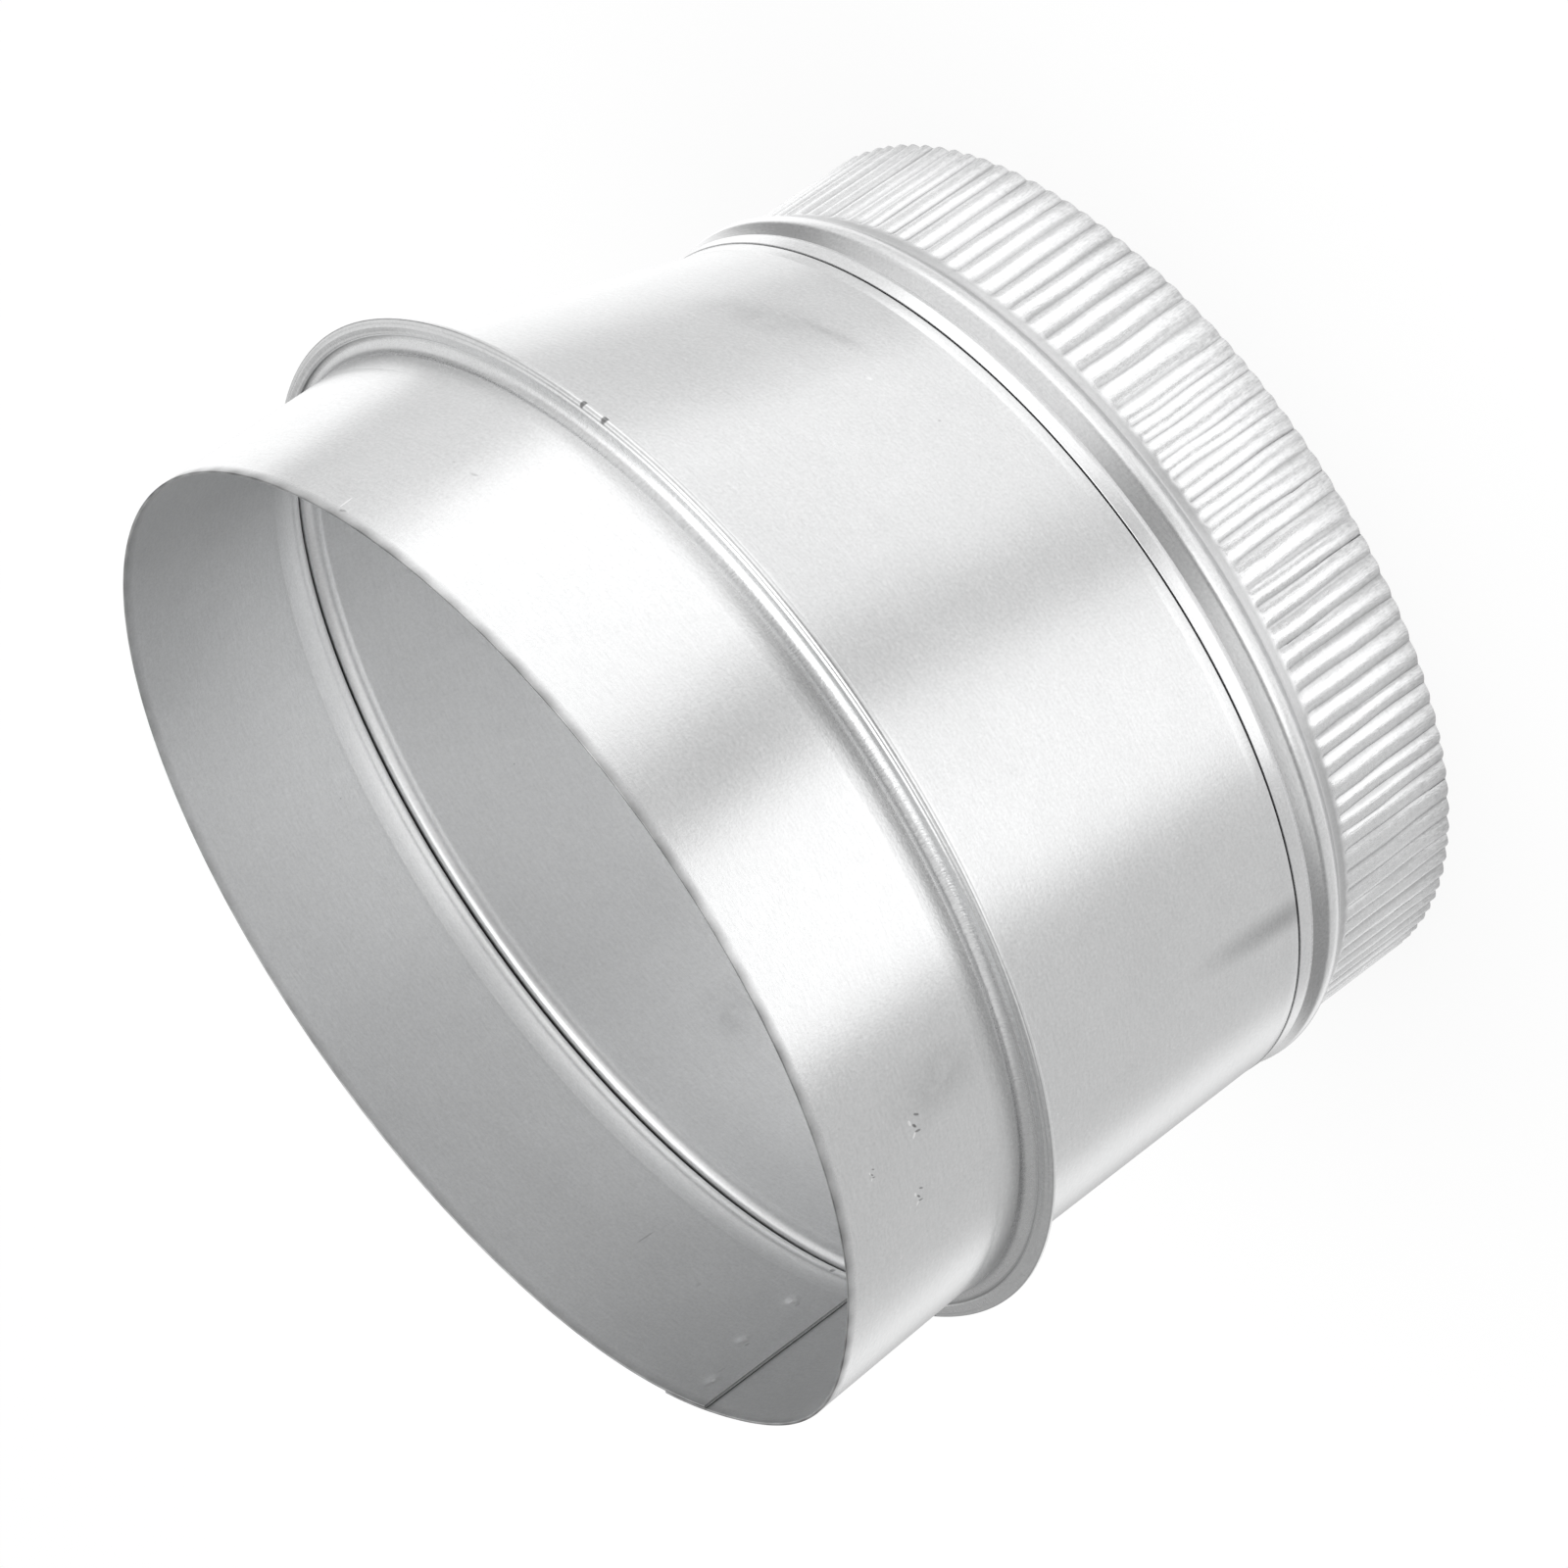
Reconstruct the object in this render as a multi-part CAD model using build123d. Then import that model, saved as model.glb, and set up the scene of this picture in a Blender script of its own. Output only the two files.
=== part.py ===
from build123d import *
import math
import os

# Eccentric duct reducer, standing on its crimped end with the large mouth up.
# Three galvanised sheets make it: a straight collar, an eccentric tapered body
# and a beaded, crimped collar. Z = 0 is the crimped end, the Z axis is the large
# collar's axis, and the small end's axis lies towards -X.

# Sheet metal, in millimetres
sheet = 0.5
fold_gap = 0.1
slip_gap = 0.15

# Duct sizes
mouth_bore = 200.0
throat_bore = 181.8
eccentricity = 8.7

# Large collar, from the mouth to the standing seam
collar_length = 42.6
collar_fillet = 3.25
mouth_bulge = 1.6
bulge_angle = 50.0

# Standing seam, where the body's hem is folded over the collar's flange
seam_diameter = 213.4
hem_width = 3.0
flange_setback = 0.3

# Tapered body
body_length = 66.9
roll_band = 5.2
joggle_run = 0.7
joggle_drop = 0.5
spigot_length = 3.0

# Crimped collar, from its lip to the crimped end
lip_length = 4.1
groove_diameter = 180.2
groove_run = 1.2
bead_width = 7.4
bead_diameter = 186.2
bead_bend = 1.9
foot_diameter = 178.3
foot_length = 0.6
crimp_length = 26.4
crimp_fade = 1.6
crimp_diameter = 179.6
crimp_depth = 1.0
crimp_crest = 1.8
crimp_count = 125

# Lap seams and their spot welds; angles run from +X towards +Y
collar_seam_angle = 160.0
collar_lap = 13.8
body_seam_angle = 170.0
body_lap = 12.0
body_joggle_angle = 8.0
weld_diameter = 4.0
weld_inset = 11.0
collar_weld_first = 6.0
collar_weld_pitch = 12.0
collar_weld_count = 3
body_weld_first = 12.0
body_weld_pitch = 17.0
body_weld_count = 3

# Flats in a wide bend and in a lap's joggle, arcs round the taper and sides of a weld
bend_flat_count = 2
joggle_flat_angle = 4.0
taper_arc_count = 96
weld_side_count = 8

# Heights above the crimped end
bead_foot_z = crimp_length
groove_z = bead_foot_z + bead_width
lip_bottom_z = groove_z + groove_run
lip_top_z = lip_bottom_z + lip_length
seam_z = lip_top_z + body_length
body_flange_z = seam_z + sheet / 2
collar_flange_z = body_flange_z + sheet + fold_gap
hem_z = collar_flange_z + sheet + fold_gap
mouth_z = collar_flange_z - sheet / 2 + collar_length

# Radii to the middle of the sheet
collar_r = (mouth_bore + sheet) / 2
throat_r = (throat_bore + sheet) / 2
hem_r = (seam_diameter - sheet) / 2
hem_edge_r = hem_r + sheet / 2 - hem_width
flange_edge_r = hem_r - sheet / 2 - flange_setback
spigot_r = throat_r - joggle_drop
lip_r = spigot_r + sheet + slip_gap
groove_r = (groove_diameter - sheet) / 2
bead_r = (bead_diameter - sheet) / 2
foot_r = (foot_diameter - sheet) / 2

crimp_pitch = 360 / crimp_count
small_axis = Pos(-eccentricity, 0, 0)


def polar(radius, angle, height=0.0):
    """Point at a radius, an angle in degrees and a height."""
    return Vector(radius, 0, height).rotate(Axis.Z, angle)


def sharp_bend(radius, height):
    """A fold too tight to have a radius of its own."""
    return (radius, height), 0, 0


def rolled_bend(before, corner, after, radius, flats):
    """Knots where the narrow flats of one bend meet, or its sharp corner where it has none."""
    if not flats:
        return [corner]
    way_in = (corner - before).normalized()
    way_out = (after - corner).normalized()
    reach = radius * math.tan(math.radians(way_in.get_angle(way_out)) / 2)
    curve = TangentArc(corner - way_in * reach, corner + way_out * reach, tangent=way_in)
    return [curve @ (flat / flats) for flat in range(flats + 1)]


def sheet_ring(start, bends, end):
    """Turn a strip of sheet round the Z axis.

    The points are (radius, height) along the middle of the sheet, and each bend is
    its corner, its radius and its count of flats.
    """
    corners = [Vector(*start), *[Vector(*bend[0]) for bend in bends], Vector(*end)]
    middle = [corners[0]]
    for number, (_, radius, flats) in enumerate(bends):
        middle += rolled_bend(*corners[number : number + 3], radius, flats)
    middle.append(corners[-1])
    ways = [(after - before).normalized() for before, after in zip(middle, middle[1:])]
    left, right = [], []
    for knot, way_in, way_out in zip(middle, [ways[0], *ways], [*ways, ways[-1]]):
        across = (way_in + way_out).rotate(Axis.Z, 90) * (sheet / 2 / (1 + way_in.dot(way_out)))
        left.append(knot + across)
        right.insert(0, knot - across)
    return revolve(Plane.XZ * make_face(Polyline(*left, *right, close=True)), Axis.Z, 360)


def arcs(radius, start, end, count):
    """Equal arcs about the Z axis, end to end between two angles."""
    step = (end - start) / count
    return [
        ThreePointArc(*[polar(radius, start + (number + share) * step) for share in (0, 0.5, 1)])
        for number in range(count)
    ]


def joggle(face_r, seam_angle, joggle_angle, bulge):
    """Flats of one face of the sheet where it steps out over its own inner edge."""
    start_angle = seam_angle + joggle_angle
    lap_r = face_r + sheet + slip_gap
    middle = polar((face_r + lap_r) / 2 + bulge, seam_angle + joggle_angle / 2)
    tangents = [polar(1, start_angle - 90), polar(1, seam_angle - 90)]
    curve = Spline(polar(face_r, start_angle), middle, polar(lap_r, seam_angle), tangents=tangents)
    flats = math.ceil(joggle_angle / joggle_flat_angle)
    return Polyline(*[curve @ (flat / flats) for flat in range(flats + 1)]).edges()


def rolled_rows(bore_r, seam_angle, lap_angle, joggle_angle, turn_arcs, bulge=0.0):
    """Both faces of a sheet rolled clockwise from its inner edge: its turn, joggle and lap."""
    lap_arcs = max(1, round(turn_arcs * lap_angle / 360))
    turn, step_out, over = [], [], []
    for face_r in (bore_r, bore_r + sheet):
        turn.append(arcs(face_r, seam_angle, seam_angle + joggle_angle - 360, turn_arcs))
        step_out.append(joggle(face_r, seam_angle, joggle_angle, bulge))
        over.append(arcs(face_r + sheet + slip_gap, seam_angle, seam_angle - lap_angle, lap_arcs))
    return turn, step_out, over


def strip_face(inside, outside):
    """Section of sheet between two rows of edges that run the same way."""
    ends = [Line(inside[0] @ 0, outside[0] @ 0), Line(inside[-1] @ 1, outside[-1] @ 1)]
    return make_face([*inside, *outside, *ends])


def spot_weld(bore_r, angle, height):
    """Nugget that joins the two layers of a lap, between the middles of both."""
    nugget = extrude(RegularPolygon(weld_diameter / 2, weld_side_count), sheet + slip_gap)
    return Rot(0, 0, angle) * Pos(bore_r + sheet / 2, 0, height) * Rot(0, 90, 0) * nugget


def crimp_row(crest, height):
    """Corners of one face of the crimps at a height, with a valley and a flat crest in each pitch."""
    half_crest = math.degrees(crimp_crest / 2 / crest)
    row = []
    for crimp in range(crimp_count):
        angle = crimp * crimp_pitch
        row.append(polar(crest - crimp_depth, angle - crimp_pitch / 2, height))
        row.append(polar(crest, angle - half_crest, height))
        row.append(polar(crest, angle + half_crest, height))
    return row


def fade_faces(crimps, foot):
    """Facets that run one face of the crimps out to the round foot above them."""
    faces = []
    for crimp in range(crimp_count):
        valley, rise, fall = crimps[3 * crimp : 3 * crimp + 3]
        next_valley = crimps[(3 * crimp + 3) % len(crimps)]
        top, next_top = foot[crimp], foot[(crimp + 1) % crimp_count]
        for corners in ((valley, rise, top), (rise, fall, next_top, top), (fall, next_valley, next_top)):
            faces.append(Face(Wire.make_polygon(corners)))
    return faces


def crimped_skirt():
    """Crimped wall, from the cut end up to where the crimps run out under the bead."""
    fade_z = bead_foot_z - crimp_fade
    crests = (crimp_diameter / 2, crimp_diameter / 2 - sheet)
    foot_radii = (foot_r + sheet / 2, foot_r - sheet / 2)
    lower = [crimp_row(crest, fade_z) for crest in crests]
    upper = [
        [polar(radius, (crimp - 0.5) * crimp_pitch, bead_foot_z) for crimp in range(crimp_count)]
        for radius in foot_radii
    ]
    sides = [face for rows in zip(lower, upper) for face in fade_faces(*rows)]
    rings = [Face(Wire.make_polygon(outer), [Wire.make_polygon(inner)]) for outer, inner in (lower, upper)]
    return Solid(Shell(sides + rings)) + extrude(rings[0], -fade_z, dir=(0, 0, 1))


def large_collar():
    """Straight collar with a lap seam, turned out at its foot into the standing seam."""
    join_z = collar_flange_z + collar_fillet + sheet
    lap_angle = math.degrees(collar_lap / collar_r)
    seam = (mouth_bore / 2, collar_seam_angle, lap_angle, bulge_angle, 2)
    turn, step_out, over = [Pos(0, 0, join_z) * strip_face(*rows) for rows in rolled_rows(*seam)]
    bulged = Pos(0, 0, mouth_z) * strip_face(*rolled_rows(*seam, mouth_bulge)[1])
    collar = extrude(turn, mouth_z - join_z) + extrude(over, mouth_z - join_z)
    collar += loft([step_out, bulged], ruled=True)
    collar += sheet_ring(
        (collar_r, join_z),
        [((collar_r, collar_flange_z), collar_fillet, bend_flat_count)],
        (flange_edge_r, collar_flange_z),
    )
    weld_angle = collar_seam_angle - math.degrees(weld_inset / collar_r)
    for weld in range(collar_weld_count):
        height = mouth_z - collar_weld_first - weld * collar_weld_pitch
        collar += spot_weld(mouth_bore / 2, weld_angle, height)
    return collar


def tapered_body():
    """Eccentric cone with a lap seam, hemmed over the collar and joggled into the lip."""
    taper_top_z = body_flange_z - roll_band
    taper_bottom_z = lip_top_z + joggle_run
    lap_angle = math.degrees(body_lap / collar_r)
    sections = []
    for bore, shift, height in ((throat_bore, -eccentricity, taper_bottom_z), (mouth_bore, 0, taper_top_z)):
        rows = rolled_rows(bore / 2, body_seam_angle, lap_angle, body_joggle_angle, taper_arc_count)
        inside, outside = [[edge for row in rows for edge in row[side]] for side in (0, 1)]
        sections.append(Pos(shift, 0, height) * strip_face(inside, outside))
    body = loft(sections, ruled=True)
    body += sheet_ring(
        (hem_edge_r, hem_z),
        [
            sharp_bend(hem_r, hem_z),
            sharp_bend(hem_r, body_flange_z),
            sharp_bend(collar_r, body_flange_z),
        ],
        (collar_r, taper_top_z),
    )
    body += small_axis * sheet_ring(
        (throat_r, taper_bottom_z),
        [sharp_bend(spigot_r, lip_top_z)],
        (spigot_r, lip_top_z - spigot_length),
    )
    weld_angle = body_seam_angle - math.degrees(weld_inset / collar_r)
    for weld in range(body_weld_count):
        height = seam_z - body_weld_first - weld * body_weld_pitch
        rise = (height - taper_bottom_z) / (taper_top_z - taper_bottom_z)
        bore = throat_bore + (mouth_bore - throat_bore) * rise
        body += Pos(eccentricity * (rise - 1), 0, 0) * spot_weld(bore / 2, weld_angle, height)
    return body


def crimped_collar():
    """Small collar: plain lip, groove, rounded bead and crimps down to its end."""
    bead = sheet_ring(
        (lip_r, lip_top_z),
        [
            sharp_bend(lip_r, lip_bottom_z),
            sharp_bend(groove_r, groove_z),
            ((bead_r, (bead_foot_z + groove_z) / 2), bead_bend, bend_flat_count),
            sharp_bend(foot_r, bead_foot_z + foot_length),
        ],
        (foot_r, bead_foot_z),
    )
    return small_axis * (bead + crimped_skirt())


pieces = {
    "large_collar": large_collar,
    "tapered_body": tapered_body,
    "crimped_collar": crimped_collar,
}

os.makedirs("parts", exist_ok=True)
for name, make in pieces.items():
    piece = make()
    print(name, "solids", len(piece.solids()), "volume", round(piece.volume, 1))
    export_step(piece, "parts/" + name + ".step")
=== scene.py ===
import math

import bpy
import numpy as np
from mathutils import Matrix, Vector


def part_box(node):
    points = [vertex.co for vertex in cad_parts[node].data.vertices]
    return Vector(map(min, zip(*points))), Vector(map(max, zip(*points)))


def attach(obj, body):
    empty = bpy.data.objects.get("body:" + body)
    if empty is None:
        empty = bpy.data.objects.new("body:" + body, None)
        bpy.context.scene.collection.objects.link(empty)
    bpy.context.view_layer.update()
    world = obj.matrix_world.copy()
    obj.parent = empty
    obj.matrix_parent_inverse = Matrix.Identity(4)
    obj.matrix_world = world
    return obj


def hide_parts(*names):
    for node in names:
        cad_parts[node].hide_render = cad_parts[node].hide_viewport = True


# Looks of an eccentric duct reducer made of three galvanised sheets. Each sheet is
# one closed thin mesh: a bent line of the sheet's middle, carried round the axis of
# its ring, with the laps, spot welds, crimps and small dents of the real fitting.
# Shapes are written in millimetres in the row's frame and turned into metres.

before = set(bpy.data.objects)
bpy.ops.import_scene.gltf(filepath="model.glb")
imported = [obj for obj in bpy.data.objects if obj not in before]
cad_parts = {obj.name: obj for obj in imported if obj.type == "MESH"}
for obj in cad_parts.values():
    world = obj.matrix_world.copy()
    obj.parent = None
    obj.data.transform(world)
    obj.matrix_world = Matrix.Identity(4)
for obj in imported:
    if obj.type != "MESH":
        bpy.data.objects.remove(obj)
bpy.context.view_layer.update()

MM = 0.001

# Heights, radii and gaps of the fitting, read from the frame where a node gives them
collar_low, collar_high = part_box("large_collar")
body_low, body_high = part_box("tapered_body")
small_low, small_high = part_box("crimped_collar")
SHEET = 0.5
MOUTH_BORE_R = 100.0
THROAT_BORE_R = 90.9
MOUTH_Z = collar_high.z / MM
COLLAR_FLANGE_Z = collar_low.z / MM + SHEET / 2
HEM_Z = body_high.z / MM - SHEET / 2
SEAM_R = (body_high.x - body_low.x) / 2 / MM
LIP_TOP_Z = small_high.z / MM
SMALL_X = (small_low.x + small_high.x) / 2 / MM
BEAD_R = (small_high.x - small_low.x) / 2 / MM
HEM_WIDTH = 3.0
FOLD_GAP = 0.1
LAP_GAP = 0.12
EDGE_CHAMFER = 0.07
SHARP_ANGLE = math.radians(38)

# Length in mm of one unit of UV, and half width in mm of the dark line at a cut edge
UV_UNIT = 100
CUT_LINE = 0.12

rng = np.random.default_rng(7)


def bent_line(points, bends, steps):
    """Middle line through (radius, height) points, with each inner corner rounded by its bend."""
    points = [Vector(point) for point in points]
    line = [points[0]]
    for before, corner, after, radius, step_count in zip(points, points[1:], points[2:], bends, steps):
        way_in = (corner - before).normalized()
        way_out = (after - corner).normalized()
        turn = way_in.angle(way_out)
        side = 1.0 if way_in.x * way_out.y - way_in.y * way_out.x > 0 else -1.0
        start = corner - way_in * radius * math.tan(turn / 2)
        centre = start + Vector((-way_in.y, way_in.x)) * side * radius
        for step in range(step_count + 1):
            spoke = start - centre
            spoke.rotate(Matrix.Rotation(side * turn * step / step_count, 2))
            line.append(centre + spoke)
    line.append(points[-1])
    return np.array([(point.x, point.y) for point in line])


def refine(line, longest):
    """The same line with its long runs divided evenly."""
    knots = [line[0]]
    for start, end in zip(line, line[1:]):
        count = max(1, math.ceil(np.linalg.norm(end - start) / longest))
        knots += [start + (end - start) * (step + 1) / count for step in range(count)]
    return np.array(knots)


def lengths_along(line):
    """Length from the start of the line to each knot."""
    return np.concatenate([[0.0], np.cumsum(np.linalg.norm(np.diff(line, axis=0), axis=1))])


def with_knots(line, places):
    """The same line with extra knots at lengths along it."""
    along = lengths_along(line)
    wanted = np.unique(np.round(np.concatenate([along, places]), 3))
    return np.stack([np.interp(wanted, along, line[:, axis]) for axis in (0, 1)], axis=1)


def line_normals(line):
    """Unit normals of the line, to the right of its direction, averaged at each knot."""
    ways = np.diff(line, axis=0)
    ways /= np.linalg.norm(ways, axis=1, keepdims=True)
    ways = np.vstack([ways[:1], (ways[:-1] + ways[1:]) / 2, ways[-1:]])
    lengths = np.linalg.norm(ways, axis=1, keepdims=True)
    return np.stack([ways[:, 1], -ways[:, 0]], axis=1) / lengths**2


def smooth_step(value):
    """Ramp from 0 to 1 with level ends."""
    share = np.clip(value, 0.0, 1.0)
    return share * share * (3 - 2 * share)


def near(values, centre, width):
    """Bell from 0 to 1 about a centre."""
    return np.exp(-(((values - centre) / width) ** 2))


def dent(angles, along, angle, place, width, length, radius):
    """Bell-shaped mark on a ring, from 0 to 1, at an angle in degrees and a place along its line."""
    across = np.radians((angles - angle + 180) % 360 - 180) * radius / width
    return np.exp(-(across[None, :] ** 2) - ((along[:, None] - place) / length) ** 2)


# Waves of a ripple round the ring, and how far their phase may drift in a millimetre
RIPPLE_WAVES = (3, 5, 8, 13, 21)
RIPPLE_DRIFT = 0.05


def ripple(angles, along, depth, seed):
    """Slight unevenness of a hand-rolled sheet, as a few long waves."""
    draw = np.random.default_rng(seed)
    height = np.zeros((len(along), len(angles)))
    for turns in RIPPLE_WAVES:
        phase, drift = draw.uniform(0, 2 * math.pi), draw.uniform(-RIPPLE_DRIFT, RIPPLE_DRIFT)
        height += np.sin(np.radians(angles)[None, :] * turns + phase + drift * along[:, None]) / turns
    return depth * height


def uneven(angles, share, *waves):
    """Strength at each angle, from 1 down by up to twice a share, in waves round the ring."""
    swells = [np.sin(np.radians(wave * angles)) for wave in waves]
    return (1 - share + share * np.prod(swells, axis=0))[None, :]


def sheet_mesh(name, line, angles, shift_x, lift, ring_r, closed, shade_and_edges, scuff, sway=0.0):
    """Closed thin mesh of one sheet.

    line holds (radius, height) knots, and shift_x moves each knot's ring along X. lift
    moves each (knot, angle) along the line's normal, and sway turns it round the axis.
    The darkening pair (inner face, outer face) is painted shade in crevices, gaps and
    valleys and darker cut edges; scuff marks worked metal; both from 0 to 1. UV is the
    length round the ring and along the line.
    """
    normals = line_normals(line)
    along = lengths_along(line)
    half = np.full(len(line), SHEET / 2)
    half[[0, -1]] -= EDGE_CHAMFER
    knots, columns = len(line), len(angles)
    turned = np.radians(angles[None, :] + np.broadcast_to(sway, (knots, columns)))
    cos, sin = np.cos(turned), np.sin(turned)
    faces = []
    for side in (1.0, -1.0):
        reach = lift + side * half[:, None]
        radius = line[:, 0, None] + normals[:, 0, None] * reach
        height = line[:, 1, None] + normals[:, 1, None] * reach
        faces.append(np.stack([shift_x[:, None] + radius * cos, radius * sin, height], axis=2))
    loop = np.concatenate([faces[0], faces[1][::-1]], axis=0)
    rows = 2 * knots
    index = np.arange(rows * columns).reshape(rows, columns)
    below = np.roll(index, -1, axis=0)
    if closed:
        corners = [index, np.roll(index, -1, 1), np.roll(below, -1, 1), below]
    else:
        corners = [index[:, :-1], index[:, 1:], below[:, 1:], below[:, :-1]]
    quads = np.stack(corners, axis=2).reshape(-1, 4)
    if not closed:
        for column, flipped in ((0, True), (columns - 1, False)):
            rise = index[: knots - 1, column], index[1:knots, column]
            back = index[::-1][: knots - 1, column], index[::-1][1:knots, column]
            cap = np.stack([rise[0], rise[1], back[1], back[0]], axis=1)
            quads = np.vstack([quads, cap[:, ::-1] if flipped else cap])
    if angles[-1] < angles[0]:
        quads = quads[:, ::-1]
    mesh = bpy.data.meshes.new(name)
    mesh.from_pydata((loop.reshape(-1, 3) * MM).tolist(), [], quads.tolist())
    mesh.update()
    round_u = np.radians(np.abs(angles - angles[0])) * ring_r / UV_UNIT
    line_v = np.concatenate([along, along[::-1]]) / UV_UNIT
    uv_of = np.stack(np.broadcast_arrays(round_u[None, :], line_v[:, None]), axis=2).reshape(-1, 2)
    uv_corners = uv_of[quads.ravel()].astype(np.float32)
    if closed:
        # The last faces of the ring end at the whole turn, not back at zero
        uv_corners.reshape(rows, columns, 4, 2)[:, -1, 1:3, 0] = 2 * math.pi * ring_r / UV_UNIT
    mesh.uv_layers.new(name="UVMap").data.foreach_set("uv", uv_corners.ravel())
    inner_shade_and_edges, outer_shade_and_edges = [np.broadcast_to(value, (knots, columns)) for value in shade_and_edges]
    worked = np.broadcast_to(scuff, (knots, columns))
    inside = np.repeat([1.0, 0.0], knots)[:, None]
    for label, value in (
        ("shade_and_edges", np.concatenate([inner_shade_and_edges, outer_shade_and_edges[::-1]])),
        ("scuff", np.concatenate([worked * 0, worked[::-1]])),
        ("inside", np.broadcast_to(inside, (rows, columns))),
    ):
        layer = mesh.attributes.new(label, "FLOAT", "POINT")
        layer.data.foreach_set("value", value.astype(np.float32).ravel())
    mesh.shade_smooth()
    mesh.set_sharp_from_angle(angle=SHARP_ANGLE)
    piece = bpy.data.objects.new(name, mesh)
    bpy.context.scene.collection.objects.link(piece)
    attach(piece, "root")
    return piece


# Columns of a lapped sheet, in degrees: their usual step, where the closest ones end,
# and those next to the inner edge and before the line where the lap begins
COLUMN_STEP = 0.8
CLOSEST_END = 16
BY_INNER_EDGE = (0.0, 0.05, 0.12)
BEFORE_LAP = (0.6, 0.4, 0.25, 0.12, 0.0)
LINE_CLEARANCE = 0.25


def lap_angles(seam, lap_angle, joggle):
    """Angles of a sheet rolled clockwise from its inner edge, closer together near its seam."""
    start = np.concatenate([BY_INNER_EDGE, np.arange(LINE_CLEARANCE, CLOSEST_END, COLUMN_STEP / 3)])
    turn = np.arange(CLOSEST_END, 360 - joggle, COLUMN_STEP)
    last = np.arange(360 - joggle, 360 - COLUMN_STEP, COLUMN_STEP / 2)
    lap_line = 360 - np.array(BEFORE_LAP)
    over = np.arange(360 + LINE_CLEARANCE, 360 + lap_angle, COLUMN_STEP / 2)
    return seam - np.concatenate([start, turn, last, lap_line, over, [360 + lap_angle]])


def lap_rise(turned, joggle):
    """How far the sheet stands off its own first turn: nothing, then the lap's step."""
    return (SHEET + LAP_GAP) * smooth_step((turned - (360 - joggle)) / joggle)


def edge_knots(line, from_start, from_end):
    """The line with a knot a chamfer's width inside each of its two cut edges."""
    return np.vstack([line[:1], line[:1] + from_start, line[1:-1], line[-1:] + from_end, line[-1:]])


# Large collar. Its welds are (angle, length from the rim), and its dents have a depth too
COLLAR_SEAM = 160.0
COLLAR_LAP = 13.8
COLLAR_JOGGLE = 50.0
COLLAR_RIPPLE = 0.05
COLLAR_RIPPLE_SEED = 3
MOUTH_BULGE = 1.6
BULGE_LENGTH = 36
WALL_LENGTH = 37
WALL_FADE = 6
FLARE_HEIGHT = 5.0
FLARE_REACH = 0.35
COLLAR_FILLET = 2.3
FLANGE_EDGE_R = SEAM_R - 1.5
ROLLER_LINE = 35.5
ROLLER_WIDTH = 0.4
ROLLER_DEPTH = 0.02
COLLAR_WELDS = ((156.4, 6.3), (153.6, 17.6), (153.2, 30.4))
WELD_R = 1.2
WELD_HEIGHT = 0.3
WELD_PIT_R = 1.0
WELD_PIT_DEPTH = 0.1
WELD_PIT_TURN = 0.9
COLLAR_DENTS = ((230.5, 19.5, 0.10), (228.5, 9.0, 0.07), (221.5, 17.0, 0.08), (314.0, 22.0, 0.05))
DENT_SIZE = (1.3, 1.6)

# Painted shade at the collar's lap line, in its fold and under the hem, and a darker cut rim, from 0 to
# 1, and where it lies
LAP_LINE_SHADE = 0.85
LAP_SHADE_END = 39.5
LAP_LINE = 0.12
INNER_EDGE_LINE = 0.05
FILLET_SHADE = 0.9
UNDER_HEM_SHADE = 0.85
RIM_INSIDE_DARK = 0.6
RIM_OUTSIDE_DARK = 0.95
RAGGED_WAVES = (31, 47)
SCUFFED_AT = 41.4
SCUFFED_WIDTH = 1.7


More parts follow.
